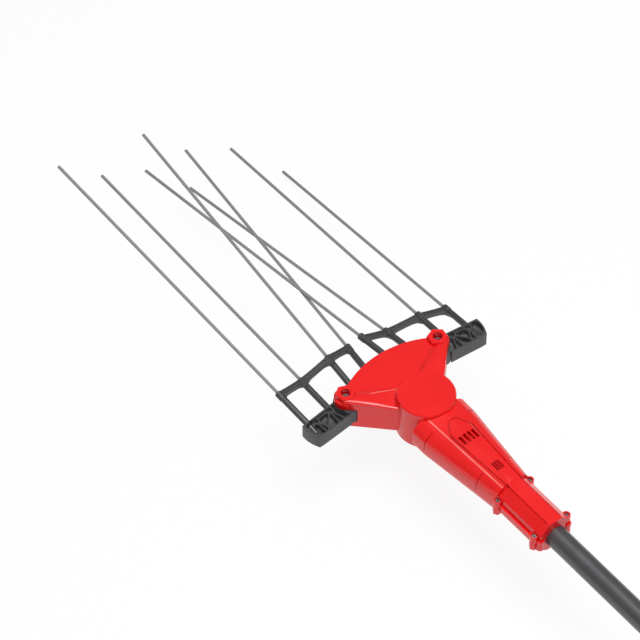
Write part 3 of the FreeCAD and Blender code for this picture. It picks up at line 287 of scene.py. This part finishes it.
pole_look = drawn_metal(
    "dark anodised tube", dark=(0.085, 0.085, 0.09), light=(0.12, 0.12, 0.125),
    roughness=(0.3, 0.42), across=700.0, along=3.0, metallic=0.55, coat=0.15)
pole_inner = pole_radius - pole_wall
pole_outline = [
    (0, pole_inner + pole_bevel), (0, pole_radius - pole_bevel), (pole_bevel, pole_radius),
    (pole_high.y - pole_bevel, pole_radius), (pole_high.y, pole_radius - pole_bevel),
    (pole_high.y, pole_inner), (pole_bevel, pole_inner), (0, pole_inner + pole_bevel)]
pole_tube = turned(pole_outline, start=(0, 0, 0), direction=(0, 1, 0), sides=pole_sides)
new_piece("pole", pole_tube, "housing", pole_look, "pole_tube")

# The housing is two glossy red shells of moulded, glass-filled nylon, split along the
# pole's centre plane and screwed together from below. Every moulded edge has a small
# radius, which also draws the fine line where the shells meet.
shell_edge = 0.45 * MM
shell_crease = 17
shell_groove = 1.3 * MM
moulded_crease = 28
edge_segments = 2
triangle_weld = 0.004 * MM
flat_angle = 0.4
shade_low, shade_high = 0.9, 1.08
grain_relief = 0.6


def face_width(face):
    """Roughly how wide a long face is."""
    return face.calc_area() / max(side.calc_length() for side in face.edges)


def rounded_copy(node, edge, crease=moulded_crease, groove=0.0):
    """A bmesh of a CAD node with its sharp edges rounded, save those of narrow grooves."""
    bm = bmesh.new()
    bm.from_mesh(nodes[node].data)
    bmesh.ops.remove_doubles(bm, verts=bm.verts, dist=triangle_weld)
    bmesh.ops.dissolve_limit(bm, angle_limit=math.radians(flat_angle), verts=bm.verts,
                             edges=bm.edges, delimit=set())
    sharp = [line for line in bm.edges if len(line.link_faces) == 2
             and line.calc_face_angle(0) > math.radians(crease)
             and min(face_width(face) for face in line.link_faces) > groove]
    bmesh.ops.bevel(bm, geom=sharp, offset=edge, offset_type="OFFSET", segments=edge_segments,
                    profile=0.5, affect="EDGES", clamp_overlap=True, material=-1)
    return bm


def moulded_grain_group():
    """Moulded plastic: a fine grain height, soft flow clouds and a mask of small rubs."""
    group, given = open_group("moulded grain", ("Grain",), ("Height", "Cloud", "Rubs"))
    place = add_node(group, "ShaderNodeTexCoord")["Object"]
    grain = add_node(group, "ShaderNodeTexNoise", {
        "Vector": place, "Scale": given["Grain"], "Detail": 2.0})
    cloud = add_node(group, "ShaderNodeTexNoise", {
        "Vector": place, "Scale": 22.0, "Detail": 3.0})
    slant = add_node(group, "ShaderNodeMapping", {
        "Vector": place, "Rotation": (0.3, 0.2, 0.7), "Scale": (420.0, 34.0, 180.0)})
    scuff = add_node(group, "ShaderNodeTexNoise", {
        "Vector": slant[0], "Scale": 1.0, "Detail": 5.0})
    rubs = add_node(group, "ShaderNodeMapRange", {
        "Value": scuff["Fac"], "From Min": 0.6, "From Max": 0.72})
    add_node(group, "NodeGroupOutput", {
        "Height": grain["Fac"], "Cloud": cloud["Fac"], "Rubs": rubs[0]})
    return group


moulded_grain = moulded_grain_group()


def moulded(name, base, rubbed, roughness, grain, depth, rub_share=0.25, gloss=0.5):
    """Moulded plastic with grain, a slight change of gloss and small rubbed places."""
    look, tree = new_look(name, {"Specular IOR Level": gloss})
    pattern = add_node(tree, "ShaderNodeGroup", {"Grain": grain}, node_tree=moulded_grain)
    low = (*[part * shade_low for part in base], 1)
    high = (*[min(part * shade_high, 1) for part in base], 1)
    color = mixed(tree, pattern["Cloud"], low, high)
    rubs = combine(tree, "MULTIPLY", pattern["Rubs"], rub_share)
    color = mixed(tree, rubs, color, (*rubbed, 1))
    feed_surface(tree, color, pattern["Cloud"], roughness, pattern["Height"], grain_relief,
                 depth)
    return look


shell_red = moulded(
    "glossy red nylon", base=(0.84, 0.004, 0.005), rubbed=(0.87, 0.04, 0.04),
    roughness=(0.2, 0.28), grain=1400.0, depth=0.03, rub_share=0.1, gloss=0.6)
# Painted highlights: pale pink lines are painted along the neck's left roof ridge and along the
# left arm's crest, where the lamp's highlight falls.
neck_ridge = Vector((-17.0, 317, 26.0)) * MM, Vector((-22.1, 457, 28.4)) * MM
arm_crest = Vector((-52.0, 540.3, 26.9)) * MM, Vector((-20.5, 525.8, 26.2)) * MM
ridge_highlight, crest_highlight = 0.6, 0.5
painted_highlight_red = (1.0, 0.36, 0.32)
highlight_core, highlight_reach = 0.4 * MM, 1.6 * MM
patch_scale = 45.0
patch_low, patch_high = 0.3, 0.6
patch_least = 0.6


def line_highlight_group():
    """A patchy mask along the straight line between two points, for painted highlights."""
    group, given = open_group("line highlight", ("Start", "End"), ("Highlight",), "NodeSocketVector")

    def vectors(operation, first, second, socket=1):
        """The outputs of one step between two points or directions."""
        return add_node(group, "ShaderNodeVectorMath", {0: first, socket: second},
                        operation=operation)

    place = add_node(group, "ShaderNodeTexCoord")["Object"]
    here = vectors("SUBTRACT", place, given["Start"])[0]
    line = vectors("SUBTRACT", given["End"], given["Start"])[0]
    along = vectors("DOT_PRODUCT", here, line)["Value"]
    total = vectors("DOT_PRODUCT", line, line)["Value"]
    share = add_node(group, "ShaderNodeMath", {0: along, 1: total}, operation="DIVIDE",
                     use_clamp=True)
    nearest = vectors("SCALE", line, share[0], "Scale")[0]
    away = vectors("DISTANCE", here, nearest)["Value"]
    near = add_node(group, "ShaderNodeMapRange", {
        "Value": away, "From Min": highlight_core, "From Max": highlight_reach,
        "To Min": 1.0, "To Max": 0.0})
    patchy = add_node(group, "ShaderNodeTexNoise", {"Vector": place, "Scale": patch_scale})
    patches = add_node(group, "ShaderNodeMapRange", {
        "Value": patchy["Fac"], "From Min": patch_low, "From Max": patch_high,
        "To Min": patch_least})
    highlight_mask = combine(group, "MULTIPLY", near[0], patches[0])
    add_node(group, "NodeGroupOutput", {"Highlight": highlight_mask})
    return group


def lay_over(look, mask, color):
    """Lays a colour over the base colour of a finish, where a mask is high."""
    tree = look.node_tree
    base = tree.nodes["Principled BSDF"].inputs["Base Color"]
    tree.links.new(mixed(tree, mask, base.links[0].from_socket, (*color, 1)), base)


# The painted highlight lines are laid over the red along the ridge and the crest.
line_highlight = line_highlight_group()
tree = shell_red.node_tree
for (start, end), amount in ((neck_ridge, ridge_highlight), (arm_crest, crest_highlight)):
    highlight_line = add_node(tree, "ShaderNodeGroup", {"Start": start, "End": end}, node_tree=line_highlight)
    lay_over(shell_red, combine(tree, "MULTIPLY", highlight_line["Highlight"], amount), painted_highlight_red)


def crevice_group():
    """A mask of the grooves and pockets that are closed in within a reach."""
    group, given = open_group("crevice", ("Reach", "Closed Below", "Open Above"), ("Closed",))
    around = add_node(group, "ShaderNodeAmbientOcclusion", {"Distance": given["Reach"]},
                      only_local=True, samples=12)
    closed = add_node(group, "ShaderNodeMapRange", {
        "Value": around["AO"], "From Min": given["Closed Below"],
        "From Max": given["Open Above"], "To Min": 1.0, "To Max": 0.0})
    add_node(group, "NodeGroupOutput", {"Closed": closed[0]})
    return group


crevice = crevice_group()


def paint_crevice_shading(look, painted_shading, reach, closed_below, open_above):
    """Paints a colour over the closed-in grooves and pockets of a moulded plastic: painted shade
    where it is darker, painted light where it is paler.
    """
    mask = add_node(look.node_tree, "ShaderNodeGroup", {
        "Reach": reach, "Closed Below": closed_below, "Open Above": open_above},
        node_tree=crevice)
    lay_over(look, mask["Closed"], painted_shading)


# Painted shade: the grooves, seams, vents and bores of the red shells are darkened to a deep red
# where they are closed in.
paint_crevice_shading(shell_red, painted_shading=(0.4, 0.002, 0.002), reach=2.0 * MM, closed_below=0.3,
              open_above=0.75)
for name, node in (("shell_top", "upper_shell"), ("shell_base", "lower_shell")):
    new_piece(name, rounded_copy(node, shell_edge, shell_crease, shell_groove), "housing",
              shell_red, node, crease=shell_crease)

# The two combs are one black moulding of glass-filled nylon, the right one turned half
# round. Ribbed pockets, tine sleeves and front bar come out of one tool, with soft edges,
# and the pockets are painted paler, as painted light in their shade. Each hub is held by its
# pivot.
comb_edge = 0.35 * MM
comb_black = moulded(
    "black comb nylon", base=(0.035, 0.035, 0.037), rubbed=(0.12, 0.12, 0.123),
    roughness=(0.42, 0.56), grain=1100.0, depth=0.05, rub_share=0.3, gloss=0.85)
# Painted light: the comb's pockets and grooves are painted a paler grey where they are closed
# in, lightening their shade.
paint_crevice_shading(comb_black, painted_shading=(0.16, 0.16, 0.16), reach=8.0 * MM, closed_below=0.15,
              open_above=0.75)
for side in ("left", "right"):
    node = "comb_" + side
    new_piece("comb_moulding_" + side, rounded_copy(node, comb_edge), side + "_comb",
              comb_black, node)

# The tines are eight straight drawn rods of grey glass fibre, bonded into the sleeves of
# the combs. Each ends in a small bevelled tip, and the pull of the die leaves fine lines
# along it.
tine_radius = 2.15 * MM
tine_sides = 20
tine_bevel = 0.8 * MM
tip_shoulder, tip_flat = tine_radius * 0.8, tine_radius * 0.35
end_reach = 2.2 * MM
tine_grey = drawn_metal(
    "drawn grey tine", dark=(0.205, 0.205, 0.21), light=(0.3, 0.3, 0.305),
    roughness=(0.38, 0.52), across=2200.0, along=14.0, metallic=0.0)


def rod_ends(node):
    """The centres of the two end faces of a straight rod that runs forward."""
    points = [v.co for v in nodes[node].data.vertices]
    low, high = min(p.y for p in points), max(p.y for p in points)
    ends = []
    for near in ([p for p in points if p.y < low + end_reach],
                 [p for p in points if p.y > high - end_reach]):
        corners = [(min(p[k] for p in near), max(p[k] for p in near)) for k in range(3)]
        ends.append(Vector([sum(pair) / 2 for pair in corners]))
    return ends


for side in ("left", "right"):
    for number in (1, 2, 3, 4):
        node = "tine_%s_%d" % (side, number)
        tail, tip = rod_ends(node)
        length = (tip - tail).length
        outline = [(0, 0), (0, tine_radius), (length - tine_bevel, tine_radius),
                   (length - tine_bevel / 3, tip_shoulder), (length, tip_flat), (length, 0)]
        rod = turned(outline, tail, tip - tail, tine_sides)
        new_piece("tine_rod_%s_%d" % (side, number), rod, side + "_comb",
                  tine_grey, node)

# At each pivot a comb turns on a bronze bush over a ground steel sleeve. A zinc plated cap
# screw clamps the sleeve between the shells, and acetal washers keep the comb off the
# walls. A hardened pin in each comb's lever takes the push of the slide.
screw_edge = 0.2 * MM
zinc = drawn_metal(
    "dull zinc", dark=(0.3, 0.3, 0.31), light=(0.42, 0.42, 0.43),
    roughness=(0.26, 0.4), across=400.0, along=400.0, depth=0.01)
ground_steel = drawn_metal(
    "ground steel", dark=(0.42, 0.42, 0.43), light=(0.56, 0.56, 0.57),
    roughness=(0.16, 0.28), across=1800.0, along=30.0, depth=0.005)
bronze = drawn_metal(
    "sintered bronze", dark=(0.42, 0.24, 0.09), light=(0.6, 0.38, 0.17),
    roughness=(0.34, 0.5), across=1500.0, along=1500.0, depth=0.01)
acetal = moulded(
    "natural acetal", base=(0.66, 0.64, 0.58), rubbed=(0.75, 0.74, 0.7),
    roughness=(0.36, 0.48), grain=900.0, depth=0.02, rub_share=0.15)
steel_pin = drawn_metal(
    "hardened pin", dark=(0.36, 0.36, 0.38), light=(0.5, 0.5, 0.52),
    roughness=(0.14, 0.24), across=60.0, along=60.0, depth=0.004)


def finish_node(look, *names):
    """Gives a finish to CAD nodes that stay as they are."""
    for name in names:
        for place in nodes[name].material_slots:
            place.material = look


def add_screws(*pairs):
    """Draws zinc plated screws and nuts of the housing from their CAD nodes."""
    for name, node in pairs:
        new_piece(name, rounded_copy(node, screw_edge), "housing", zinc, node)


add_screws(("pivot_cap_screws", "pivot_bolts"), ("pivot_hex_nuts", "pivot_nuts"))
finish_node(ground_steel, "pivot_sleeves")
finish_node(acetal, "thrust_washers")
finish_node(bronze, "comb_bush_left", "comb_bush_right")
finish_node(steel_pin, "lever_pin_left", "lever_pin_right")

# Four zinc plated cap screws with nuts close the clamp on the pole, sunk in the round
# bosses of its flanges. Four slotted screws join the shells from below.
add_screws(("clamp_cap_screws", "clamp_screws"), ("clamp_hex_nuts", "clamp_nuts"),
           ("shell_pan_screws", "shell_screws"))

# The slide is a moulded acetal yoke on two ground rods. A nylon face gear on a steel
# crankshaft drives it through a roller, in two sealed bearings under the housing's roof.
gear_nylon = moulded(
    "natural nylon", base=(0.5, 0.47, 0.4), rubbed=(0.62, 0.6, 0.55),
    roughness=(0.4, 0.52), grain=900.0, depth=0.03, rub_share=0.2)
turned_steel = drawn_metal(
    "turned steel", dark=(0.4, 0.4, 0.41), light=(0.55, 0.55, 0.56),
    roughness=(0.22, 0.36), across=200.0, along=200.0, depth=0.008)
race_steel = drawn_metal(
    "bearing steel", dark=(0.5, 0.5, 0.51), light=(0.6, 0.6, 0.61),
    roughness=(0.12, 0.22), across=90.0, along=90.0, depth=0.004)
finish_node(acetal, "slider")
finish_node(ground_steel, "guide_rods")
finish_node(gear_nylon, "face_gear")
finish_node(turned_steel, "crank_shaft", "crank_circlip", "bearing_spacer")
finish_node(race_steel, "crank_bearings", "crank_roller")

# A can motor of 42 mm lies in the neck, behind a steel plate. Its pinion reaches under
# the face gear, and a black moulded cap at its rear holds the carbon brushes.
plated_can = drawn_metal(
    "plated can", dark=(0.34, 0.34, 0.35), light=(0.45, 0.45, 0.46),
    roughness=(0.3, 0.45), across=500.0, along=25.0)
lamination = drawn_metal(
    "laminated stack", dark=(0.2, 0.2, 0.21), light=(0.42, 0.42, 0.43),
    roughness=(0.35, 0.5), across=25.0, along=2200.0, depth=0.05)
copper = drawn_metal(
    "enamelled copper", dark=(0.4, 0.13, 0.05), light=(0.66, 0.27, 0.12),
    roughness=(0.25, 0.4), across=1300.0, along=1300.0, depth=0.1)
ferrite = moulded(
    "ferrite", base=(0.06, 0.06, 0.063), rubbed=(0.12, 0.12, 0.12),
    roughness=(0.5, 0.62), grain=1600.0, depth=0.04)
cap_black = moulded(
    "black motor cap", base=(0.025, 0.025, 0.026), rubbed=(0.08, 0.08, 0.08),
    roughness=(0.4, 0.52), grain=1000.0, depth=0.04)
carbon = moulded(
    "pressed carbon", base=(0.035, 0.035, 0.037), rubbed=(0.1, 0.1, 0.1),
    roughness=(0.45, 0.6), grain=2000.0, depth=0.03)
finish_node(plated_can, "motor_can", "motor_plate")
finish_node(zinc, "motor_screws")
finish_node(ferrite, "motor_magnets")
finish_node(cap_black, "motor_end_cap")
finish_node(carbon, "motor_brushes")
finish_node(bronze, "motor_bearings")
finish_node(turned_steel, "pinion", "motor_shaft")
finish_node(lamination, "armature_core")
finish_node(copper, "armature_windings", "commutator")
